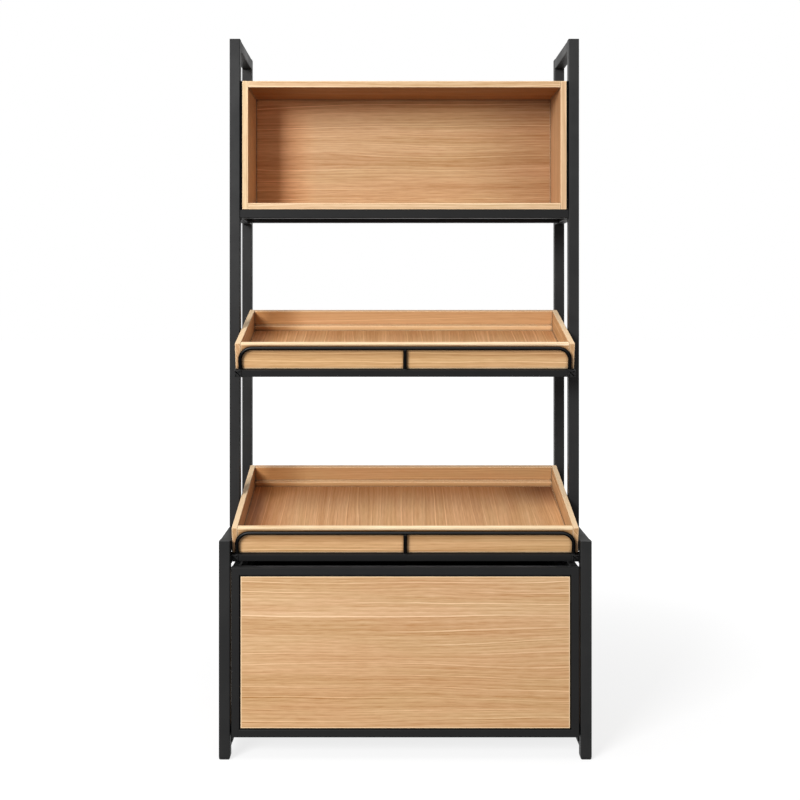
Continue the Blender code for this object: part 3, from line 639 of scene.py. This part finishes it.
BEAD = 0.0020          # radius of a ripple
BEAD_STEP = 0.0021
CORNER_OFF = 0.0008    # from the faces of a corner to the bead's centre line
BEAD_END = 0.003       # from a tube's edge to the end of a bead
CROSS_END = 0.004      # the same for a bead across a tube's end
FRAME_BEAD = 0.016     # length of a bead in a tray frame's corner
BAR_BEAD = 0.0046      # from a bar's centre to the bead around its foot

WELD_BEAD, given, made = new_tree("weld_bead", [
    ("Step", "Float", BEAD_STEP), ("Ripple", "Float", BEAD), ("Seed", "Int", 7),
    ("Finish", "Material", None)])
tree = WELD_BEAD
route = add_node(tree, "GeometryNodeMeshToCurve", {"Mesh": given["Geometry"]})
steps = add_node(tree, "GeometryNodeResampleCurve", {"Curve": route, "Length": given["Step"]},
                 mode="LENGTH")
tangent = add_node(tree, "GeometryNodeInputTangent")
turn = add_node(tree, "FunctionNodeAlignRotationToVector", {"Vector": tangent}, axis="X")
ripple = add_node(tree, "GeometryNodeMeshUVSphere", {"Segments": 7, "Rings": 4, "Radius": given["Ripple"]})
uneven = add_node(tree, "FunctionNodeRandomValue", {"Min": (0.75, 0.85, 0.85), "Max": (0.95, 1.12, 1.12),
                  "Seed": given["Seed"]}, data_type="FLOAT_VECTOR")
beads = add_node(tree, "GeometryNodeInstanceOnPoints", {"Points": steps,
                 "Instance": ripple, "Rotation": turn, "Scale": uneven})
end_tree(tree, beads, given["Finish"], made)


def both_sides(start, end):
    """A weld and its mirror image."""
    return [[Vector((sign * point[0], point[1], point[2])) for point in (start, end)] for sign in (-1, 1)]


def corner_weld(low, high, end=BEAD_END, **fixed):
    """Two mirrored welds along the axis that isn't fixed, drawn in at their ends."""
    axis = ({"x", "y", "z"} - set(fixed)).pop()
    ends = (low + end, high - end)
    return both_sides(*(tuple({**fixed, axis: value}[name] for name in "xyz") for value in ends))


def weld_ring(centre):
    """A closed run of bead around the foot of a bar."""
    turns = [math.radians(30 * step) for step in range(12)]
    return [centre + BAR_BEAD * (math.cos(turn) * SIDEWAYS + math.sin(turn) * UP_SLOPE) for turn in turns]


def weld_mesh(runs, rings=()):
    """The beads along straight runs and closed rings, as one mesh."""
    points, edges = [], []
    for run in runs:
        edges.append((len(points), len(points) + 1))
        points.extend(run)
    for ring in rings:
        start = len(points)
        points.extend(ring)
        edges.extend((start + step, start + (step + 1) % len(ring)) for step in range(len(ring)))
    return grown(guide_mesh(points, edges), WELD_BEAD, Finish=STEEL)


def slope_to(tray, y):
    """How far up a tray's slope a Y is."""
    return (y - on_tray(tray, 0.0, 0.0, 0.0).y) / math.cos(TRAY_TILT)


def frame_end(tray):
    """How far up its slope a tray's frame reaches."""
    return slope_to(tray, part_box(f"{tray}_frame_rear")[1][1])


INNER = 0.470          # inner faces of the posts and legs
TUBE = 0.030
SUPPORT_TUBE = 0.025
POST_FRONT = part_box("post_front_left")[0][1]
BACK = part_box("post_rear_left")[1][1]
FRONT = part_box("leg_front_left")[0][1]
BASE_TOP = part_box("leg_front_left")[1][2]
RAIL_LOW, RAIL_HIGH = (corner[2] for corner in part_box("bottom_rail_rear"))
CROWN_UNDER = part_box("crown_rail_left")[0][2]
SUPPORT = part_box("cubby_rail_front")
SUPPORT_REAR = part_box("cubby_rail_rear")
FRAME_CORNER = 0.4496, -0.0196         # the trays' frames: an inner corner, across and above
RUNNER_FOOT = 0.0212                   # from the bottom rails' top to the runners' welds
STITCH, STITCH_STEP = 0.03, 0.115      # the runners' welds: length, and from one to the next
FIRST_STITCH = 0.06                    # from the legs' fronts
SLOPE_ENDS = 0.0195, 0.008             # from the legs' fronts and the posts' backs to a side tube's ends
STRUT_TOP = HOOP_TOP - BAR_RADIUS + 0.0006
leg_back = FRONT + TUBE + CORNER_OFF
rear_front = BACK - TUBE - CORNER_OFF
post_back = POST_FRONT + TUBE + CORNER_OFF
near_post = INNER - CORNER_OFF
support_under = SUPPORT[0][2] - CORNER_OFF
tube_end = (INNER, INNER + TUBE, CROSS_END)
runs = []
for where_y in (post_back, rear_front):
    runs += corner_weld(*tube_end, y=where_y, z=CROWN_UNDER - CORNER_OFF)
    runs += corner_weld(INNER, INNER + SUPPORT_TUBE, y=where_y, z=support_under)
for where_y in (leg_back, rear_front):
    for where_z in (BASE_TOP - TUBE - CORNER_OFF, RAIL_HIGH + CORNER_OFF, RAIL_LOW - CORNER_OFF):
        runs += corner_weld(*tube_end, y=where_y, z=where_z)
for where_y in (POST_FRONT - CORNER_OFF, post_back):
    runs += corner_weld(*tube_end, y=where_y, z=BASE_TOP + CORNER_OFF)
for low_z in (RAIL_LOW, BASE_TOP - TUBE):
    runs += corner_weld(low_z, low_z + TUBE, x=near_post, y=rear_front)
runs += corner_weld(POST_FRONT, POST_FRONT + SUPPORT_TUBE, x=near_post, z=support_under)
runs += corner_weld(SUPPORT[0][2], SUPPORT[1][2], x=near_post, y=SUPPORT[1][1] + CORNER_OFF)
runs += corner_weld(SUPPORT_REAR[0][1], SUPPORT_REAR[1][1], x=near_post, z=support_under)
for stitch in range(4):
    start = FRONT + FIRST_STITCH + stitch * STITCH_STEP
    runs += corner_weld(start, start + STITCH, 0.0, x=near_post, z=RAIL_HIGH - RUNNER_FOOT)
rings = []
for tray in TRAYS:
    ends = [(POST_FRONT, POST_FRONT + TUBE), (BACK - TUBE, BACK - SLOPE_ENDS[1])]
    if tray == "lower_tray":
        ends.append((FRONT + SLOPE_ENDS[0], FRONT + TUBE))
    for low_y, high_y in ends:
        for above in (CORNER_OFF, -TRAY_TUBE - CORNER_OFF):
            shift = above * math.sin(TRAY_TILT)
            low, high = (slope_to(tray, where + shift) for where in (low_y, high_y))
            runs += both_sides(on_tray(tray, near_post, low, above), on_tray(tray, near_post, high, above))
    across, above = FRAME_CORNER
    for start in (0.002, frame_end(tray) - 0.023):
        end = start + FRAME_BEAD
        runs += both_sides(on_tray(tray, across, start, above), on_tray(tray, across, end, above))
    for across, above in ((-HOOP_FOOT, FIT), (HOOP_FOOT, FIT), (0.0, FIT), (0.0, STRUT_TOP)):
        rings.append(weld_ring(on_tray(tray, across, HOOP_SETBACK, above)))
add_piece("frame_weld_beads", weld_mesh(runs, rings), "rack", 70)

BIN_LOW, BIN_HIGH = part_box("bin_front_frame")
bin_inner = BIN_HIGH[0] - BIN_TUBE - CORNER_OFF
rear_low, rear_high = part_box("bin_rear_rail")
runs = []
for low_z in (BIN_LOW[2], BIN_HIGH[2] - BIN_TUBE):
    runs += corner_weld(low_z, low_z + BIN_TUBE, x=bin_inner, y=BIN_HIGH[1] + CORNER_OFF)
runs += corner_weld(rear_low[2], rear_high[2], x=bin_inner, y=rear_low[1] - CORNER_OFF)
runs += corner_weld(rear_low[1], rear_high[1], x=bin_inner, z=rear_low[2] - CORNER_OFF)
add_piece("bin_weld_beads", weld_mesh(runs), "bin", 70)


# End plugs: moulded black plastic, pushed into the open ends of the trays' side tubes. The
# front ones have a thin domed collar, and the rear ones sit flush.

COLLAR = 0.0018

SET_PIECES, given, made = new_tree("pieces_set_in_place", [
    ("Piece", "Object", None), ("Finish", "Material", None)])
tree = SET_PIECES
facing, across = (add_node(tree, "GeometryNodeInputNamedAttribute", {"Name": name}, data_type="FLOAT_VECTOR")
                  for name in ("facing", "across"))
upright = add_node(tree, "FunctionNodeAlignRotationToVector", {"Vector": facing}, axis="Z")
turned = add_node(tree, "FunctionNodeAlignRotationToVector", {"Rotation": upright,
                  "Vector": across}, axis="X", pivot_axis="Z")
source = add_node(tree, "GeometryNodeObjectInfo", {"Object": given["Piece"]})
copies = add_node(tree, "GeometryNodeInstanceOnPoints", {"Points": given["Geometry"],
                  "Instance": source.outputs["Geometry"], "Rotation": turned})
end_tree(tree, copies, given["Finish"], made)


def set_in_place(name, pattern, places, finish, body):
    """Copies of a small piece at points, each with a way to face and a way across."""
    points, facings, acrosses = ([tuple(part) for part in parts] for parts in zip(*places))
    guide = guide_mesh(points, facing=facings, across=acrosses)
    pattern = new_object("pattern", pattern)
    mesh = grown(guide, SET_PIECES, Piece=pattern, Finish=finish)
    bpy.data.objects.remove(pattern)
    add_piece(name, mesh, body)


def mesh_from(shape):
    """The mesh of a finished shape."""
    mesh = bpy.data.meshes.new("shape")
    shape.to_mesh(mesh)
    shape.free()
    return mesh


def block(length, width, height, middle):
    """A block on the Z axis, with its middle at a height."""
    shape = bmesh.new()
    bmesh.ops.create_cube(shape, size=1.0)
    bmesh.ops.scale(shape, vec=(length, width, height), verts=shape.verts)
    bmesh.ops.translate(shape, vec=(0, 0, middle), verts=shape.verts)
    return shape


def square_plug(width, corner, collar, dome, length=None):
    """A plug with its face towards +Z and its underside at nought."""
    shape = block(length or width, width, collar, collar / 2)
    sides = [edge for edge in shape.edges if abs(edge.verts[0].co.z - edge.verts[1].co.z) > collar / 2]
    bmesh.ops.bevel(shape, geom=sides, offset=corner, segments=4, profile=0.5, affect="EDGES")
    top = max(shape.faces, key=lambda face: face.calc_center_median().z)
    bmesh.ops.bevel(shape, geom=list(top.edges), offset=0.0009, segments=3, profile=0.5, affect="EDGES")
    top = max(shape.faces, key=lambda face: face.calc_center_median().z)
    bmesh.ops.inset_region(shape, faces=[top], thickness=width * 0.22, depth=dome)
    shape.faces.sort(key=lambda face: face.calc_center_median().dot((0.3, 0.5, 0.8)))    # a fixed order
    return mesh_from(shape)


front_plugs, rear_plugs = [], []
for tray in TRAYS:
    for sign in (-1, 1):
        centre = sign * (INNER - FIT - TRAY_TUBE / 2)
        front_plugs.append((on_tray(tray, centre, 0.0, -TRAY_TUBE / 2), -UP_SLOPE, SIDEWAYS))
        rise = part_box(f"{tray}_frame_left")[1][2] - on_tray(tray, 0.0, 0.0, 0.0).z
        end = rise / math.sin(TRAY_TILT) - COLLAR - 0.0004
        rear_plugs.append((on_tray(tray, centre, end, -TRAY_TUBE / 2), UP_SLOPE, SIDEWAYS))
for end, places, width, corner, dome in (("front", front_plugs, TRAY_TUBE - 0.0004, 0.0019, 0.0003),
                                         ("rear", rear_plugs, TRAY_TUBE - 0.0028, 0.0008, 0.0002)):
    plug = square_plug(width, corner, COLLAR, dome)
    set_in_place(f"tube_end_plugs_{end}", plug, places, PLASTIC, "rack")


# Spacers: black rubber pads between the trays' side boards and the posts and front legs, and
# black foam strips between the cubby's sides and the posts, which lap over the boards' arrises.
# They are stuck on the boards, and keep them from rattling. The black strips are also painted
# shade: a black line beside the cubby, where the gap is in shade.

PAD = 0.0026
pads = []
for tray, ends in (("mid_tray", (POST_FRONT + 0.015,)), ("lower_tray", (POST_FRONT + 0.015, FRONT + 0.040))):
    for sign in (-1, 1):
        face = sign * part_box(f"{tray}_side_right")[1][0]
        for where_y in ends:
            pads.append((on_tray(tray, face, slope_to(tray, where_y), 0.020), Vector((sign, 0, 0)), UP_SLOPE))
pad = square_plug(0.034, 0.004, PAD, -0.0003, 0.026)
set_in_place("tray_spacer_pads", pad, pads, PLASTIC, "rack")


def add_prism(shape, first, last):
    """A closed solid between two loops of corners."""
    first, last = ([shape.verts.new(corner) for corner in loop] for loop in (first, last))
    shape.faces.new(first)
    shape.faces.new(last[::-1])
    for step in range(len(first)):
        after = (step + 1) % len(first)
        shape.faces.new((first[after], first[step], last[step], last[after]))


def chamfered(shape, width):
    """The mesh of a shape with a small chamfer on every edge."""
    bmesh.ops.recalc_face_normals(shape, faces=shape.faces)
    bmesh.ops.bevel(shape, geom=list(shape.edges), offset=width, segments=1, affect="EDGES")
    return mesh_from(shape)


LIP, LIP_OUT = 0.0014, 0.0008      # over the arris, and out from the board's face
SQUEEZE = 0.0002                   # into the post and the board
# Painted shade: black strips that stand for the shade in the gap beside the cubby.
SHADE_LINE_FOAM = speckled("black_shade_line_foam", 1500.0, 2.0, None, (linear(4), linear(16)), (0.85, 1.0), 0.00008, 0.0003,
                Specular_IOR_Level=0.02)
board_low, board_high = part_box("cubby_right")
strip_near, strip_far = INNER - SQUEEZE, board_high[0] + SQUEEZE
strip_rear = POST_FRONT + 0.022
shape = bmesh.new()
for sign in (-1, 1):
    section = [(strip_near, POST_FRONT - LIP_OUT), (board_high[0] - LIP, POST_FRONT - LIP_OUT),
               (board_high[0] - LIP, POST_FRONT - 0.0001), (strip_far, POST_FRONT - 0.0001),
               (strip_far, strip_rear), (strip_near, strip_rear)]
    add_prism(shape, *([(sign * across, deep, height) for across, deep in section]
                       for height in (board_low[2] + SQUEEZE, board_high[2])))
mesh = chamfered(shape, 0.0002)
mesh.materials.append(SHADE_LINE_FOAM)
add_piece("cubby_joint_strips", mesh, "rack")


# Screws: black pan-head wood screws with a cross recess. They hold the trays and the cubby
# down to their rails from below, the cubby's back, and the bin's bottom, back and clips.

SUNK = 0.0019          # how deep the heads under the rails sit in their dimples
HEAD = ((0.0040, 0.0), (0.0040, 0.0006), (0.0037, 0.0014), (0.0029, 0.0020), (0.0018, 0.0023))


def turned_head(profile, sides=20):
    """A round head turned from radii and heights, with its face towards +Z."""
    shape = bmesh.new()
    turns = [math.tau * step / sides for step in range(sides)]
    loops = [[shape.verts.new((radius * math.cos(turn), radius * math.sin(turn), height)) for turn in turns]
             for radius, height in profile]
    for low, high in zip(loops, loops[1:]):
        for step in range(sides):
            after = (step + 1) % sides
            shape.faces.new((low[step], low[after], high[after], high[step]))
    shape.faces.new(loops[0][::-1])
    shape.faces.new(loops[-1])
    return mesh_from(shape)


def cross_recess(mesh, length, width, depth):
    """A head's mesh with a cross cut into its top."""
    head = new_object("head", mesh)
    top = max(vert.co.z for vert in mesh.vertices)
    for size in ((length, width), (width, length)):
        shape = block(*size, 2 * depth, top)
        for vert in shape.verts:
            if vert.co.z < top:
                vert.co.x *= 0.6
                vert.co.y *= 0.6
        cutter = new_object("recess", mesh_from(shape))
        cut = head.modifiers.new("recess", "BOOLEAN")
        cut.operation = "DIFFERENCE"
        cut.object = cutter
        graph = bpy.context.evaluated_depsgraph_get()
        mesh = bpy.data.meshes.new_from_object(head.evaluated_get(graph))
        head.modifiers.clear()
        head.data = mesh
        bpy.data.objects.remove(cutter)
    bpy.data.objects.remove(head)
    return mesh


SCREW_STEEL = speckled("black_oxide_screws", 900.0, 3.0, None, (linear(22, 22, 23), linear(58, 57, 56)),
                       (0.30, 0.48), 0.00002, 0.0002, Metallic=0.6, Specular_IOR_Level=0.5)

DOWN = Vector((0, 0, -1))
SIDE_SCREW = 0.4597    # from the middle to the screws in the side tubes
RAIL_SCREWS = (-0.36, -0.12, 0.12, 0.36)
HALF_BOARD = 0.009
screw_turn = random.Random(12)


def screwed(point, facing):
    """A screw's place, its facing, and a chance direction for its cross."""
    chance = Vector([screw_turn.uniform(-1, 1) for axis in range(3)])
    return Vector(point), facing, chance.cross(facing).normalized()


places = []
for across in RAIL_SCREWS:
    for low, high in (SUPPORT, SUPPORT_REAR):
        places.append(screwed((across, (low[1] + high[1]) / 2, low[2] + SUNK), DOWN))
    for tray in TRAYS:
        for along in (TRAY_TUBE / 2, frame_end(tray) - TRAY_TUBE / 2):
            places.append(screwed(on_tray(tray, across, along, SUNK - TRAY_TUBE), -OFF_SLOPE))
for tray in TRAYS:
    for sign in (-1, 1):
        for along in (0.11, 0.24):
            places.append(screwed(on_tray(tray, sign * SIDE_SCREW, along, -TRAY_TUBE), -OFF_SLOPE))
cubby_low, cubby_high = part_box("cubby_back")
board_middles = (cubby_low[2] + HALF_BOARD, cubby_high[2] - HALF_BOARD)
for across in (-0.40, -0.20, 0.0, 0.20, 0.40):
    for height in board_middles:
        places.append(screwed((across, cubby_high[1], height), BACKWARD))
screw = cross_recess(turned_head(HEAD), 0.0042, 0.0009, 0.0013)
set_in_place("rack_screws", screw, places, SCREW_STEEL, "rack")

# Clips of bent steel hold the front panel in its frame from behind, with a screw in each.
CLIP = 0.026
CLIP_INSET = 0.006     # from the panel's edge to a clip's screw, on either side of the edge
CLIP_THICKNESS = 0.0015
floor_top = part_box("bin_bottom")[1][2]
panel_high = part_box("bin_front_panel")[1]
behind = panel_high[1]
clip_places = [((across, behind, panel_high[2] - CLIP_INSET), BACKWARD, UP) for across in (-0.30, 0.0, 0.30)]
for height in (0.20, 0.36):
    for sign in (-1, 1):
        place = (sign * (panel_high[0] - CLIP_INSET), behind, height)
        clip_places.append((place, BACKWARD, Vector((sign, 0, 0))))
places = [screwed(Vector(point) - CLIP_INSET * outward + CLIP_THICKNESS * BACKWARD, BACKWARD)
          for point, facing, outward in clip_places]
for along in (-0.17, -0.03, 0.11):
    for sign in (-1, 1):
        places.append(screwed((sign * 0.446, along, floor_top), UP))
back_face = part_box("bin_back_panel")[1][1] - 0.0004
for across in RAIL_SCREWS:
    places.append(screwed((across, back_face, floor_top - 0.006), BACKWARD))
set_in_place("bin_screws", screw, places, SCREW_STEEL, "bin")

bend = [(-0.013, 0.0), (0.0055, 0.0), (0.0055, 0.0060), (0.0040, 0.0060), (0.0040, CLIP_THICKNESS),
        (-0.013, CLIP_THICKNESS)]
shape = bmesh.new()
add_prism(shape, *([(x, y, z) for x, z in bend] for y in (-CLIP / 2, CLIP / 2)))
set_in_place("bin_panel_clips", chamfered(shape, 0.0003), clip_places, STEEL, "bin")


# Cover caps: thin round oak-look caps over the screws that join the boards of the cubby and
# the trays. They are stuck on the outer faces of the side boards.

CAP = ((0.0062, 0.0), (0.0062, 0.0003), (0.0059, 0.0006), (0.0050, 0.0007))
CAP_FOIL = oak_board("oak_cover_caps", GRAIN_ACROSS, tone=(196, 152, 108), origin=(0.1, 0.6, 0.3), depth=0.6)
places = []
for sign in (-1, 1):
    outward = Vector((sign, 0, 0))
    side_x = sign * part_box("cubby_right")[1][0]
    for height in board_middles:
        for along in (0.0, 0.055, 0.11):
            places.append((Vector((side_x, along, height)), outward, BACKWARD))
    for tray in TRAYS:
        side_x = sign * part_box(f"{tray}_side_right")[1][0]
        corners = [(along, above) for along in (0.0195, frame_end(tray) - 0.0075) for above in (0.022, 0.054)]
        for along, above in corners + [(along, 0.0078) for along in (0.10, 0.20, 0.29)]:
            places.append((on_tray(tray, side_x, along, above), outward, UP_SLOPE))
set_in_place("board_cover_caps", turned_head(CAP, 16), places, CAP_FOIL, "rack")


# Studio: a pale floor that goes over into a white background, a soft key light at the left
# front and a soft light overhead. It is no part of the object.

def add_light(name, place, target, size, power):
    """A soft square lamp that faces a point."""
    lamp = bpy.data.lights.new(name, "AREA")
    lamp.shape = "RECTANGLE"
    lamp.size = lamp.size_y = size
    lamp.energy = power
    light = new_object(name, lamp)
    light.location = place
    light.rotation_euler = (Vector(target) - Vector(place)).to_track_quat("-Z", "Y").to_euler()


def seen_directly(tree):
    """1 to the camera and in mirror-like or clear surfaces, and 0 for the light that lands on things."""
    rays = add_node(tree, "ShaderNodeLightPath").outputs
    mirrored = math_node(tree, "MAXIMUM", rays["Is Glossy Ray"], rays["Is Transmission Ray"])
    return math_node(tree, "MAXIMUM", rays["Is Camera Ray"], mirrored)


add_light("key_softbox", (-3.66, -5.54, 3.32), (0.0, 0.0, 1.1), 2.6, 500.0)
add_light("overhead_softbox", (0.0, -0.6, 3.9), (0.0, 0.0, 1.0), 2.0, 32.0)

world = bpy.data.worlds.new("studio")
bpy.context.scene.world = world
world.use_nodes = True
background = world.node_tree.nodes["Background"]
background.inputs["Color"].default_value = (1, 1, 1, 1)
feed(background, Strength=ramp(world.node_tree, seen_directly(world.node_tree), 0.0, 1.0, 0.24, 1.0))

floor_paint, tree, surface = new_material(
    "studio_floor_paint", Roughness=0.9, Specular_IOR_Level=0.0, Base_Color=(0.28, 0.28, 0.28, 1.0),
    Emission_Color=(1, 1, 1, 1))
away = vector_node(tree, "LENGTH", object_place(tree), output="Value")
feed(surface, Emission_Strength=times(tree, seen_directly(tree), ramp(tree, away, 0.6, 3.0, 0.80, 1.0)))
shape = bmesh.new()
bmesh.ops.create_grid(shape, x_segments=1, y_segments=1, size=30.0)
floor = new_object("studio_floor", mesh_from(shape))
floor.data.materials.append(floor_paint)

# The photograph's viewpoint: level, a little left of the middle, at the height of the trays.
view = bpy.data.cameras.new("photo_view")
view.lens = 50.0
view.sensor_width = 36.0
view.shift_x = 0.0125
view.shift_y = -0.125
view.clip_end = 100.0
camera = new_object("photo_view", view)
camera.location = (-0.041, -3.227, 1.233)
camera.rotation_euler = (QUARTER, 0.0, 0.0)
bpy.context.scene.camera = camera
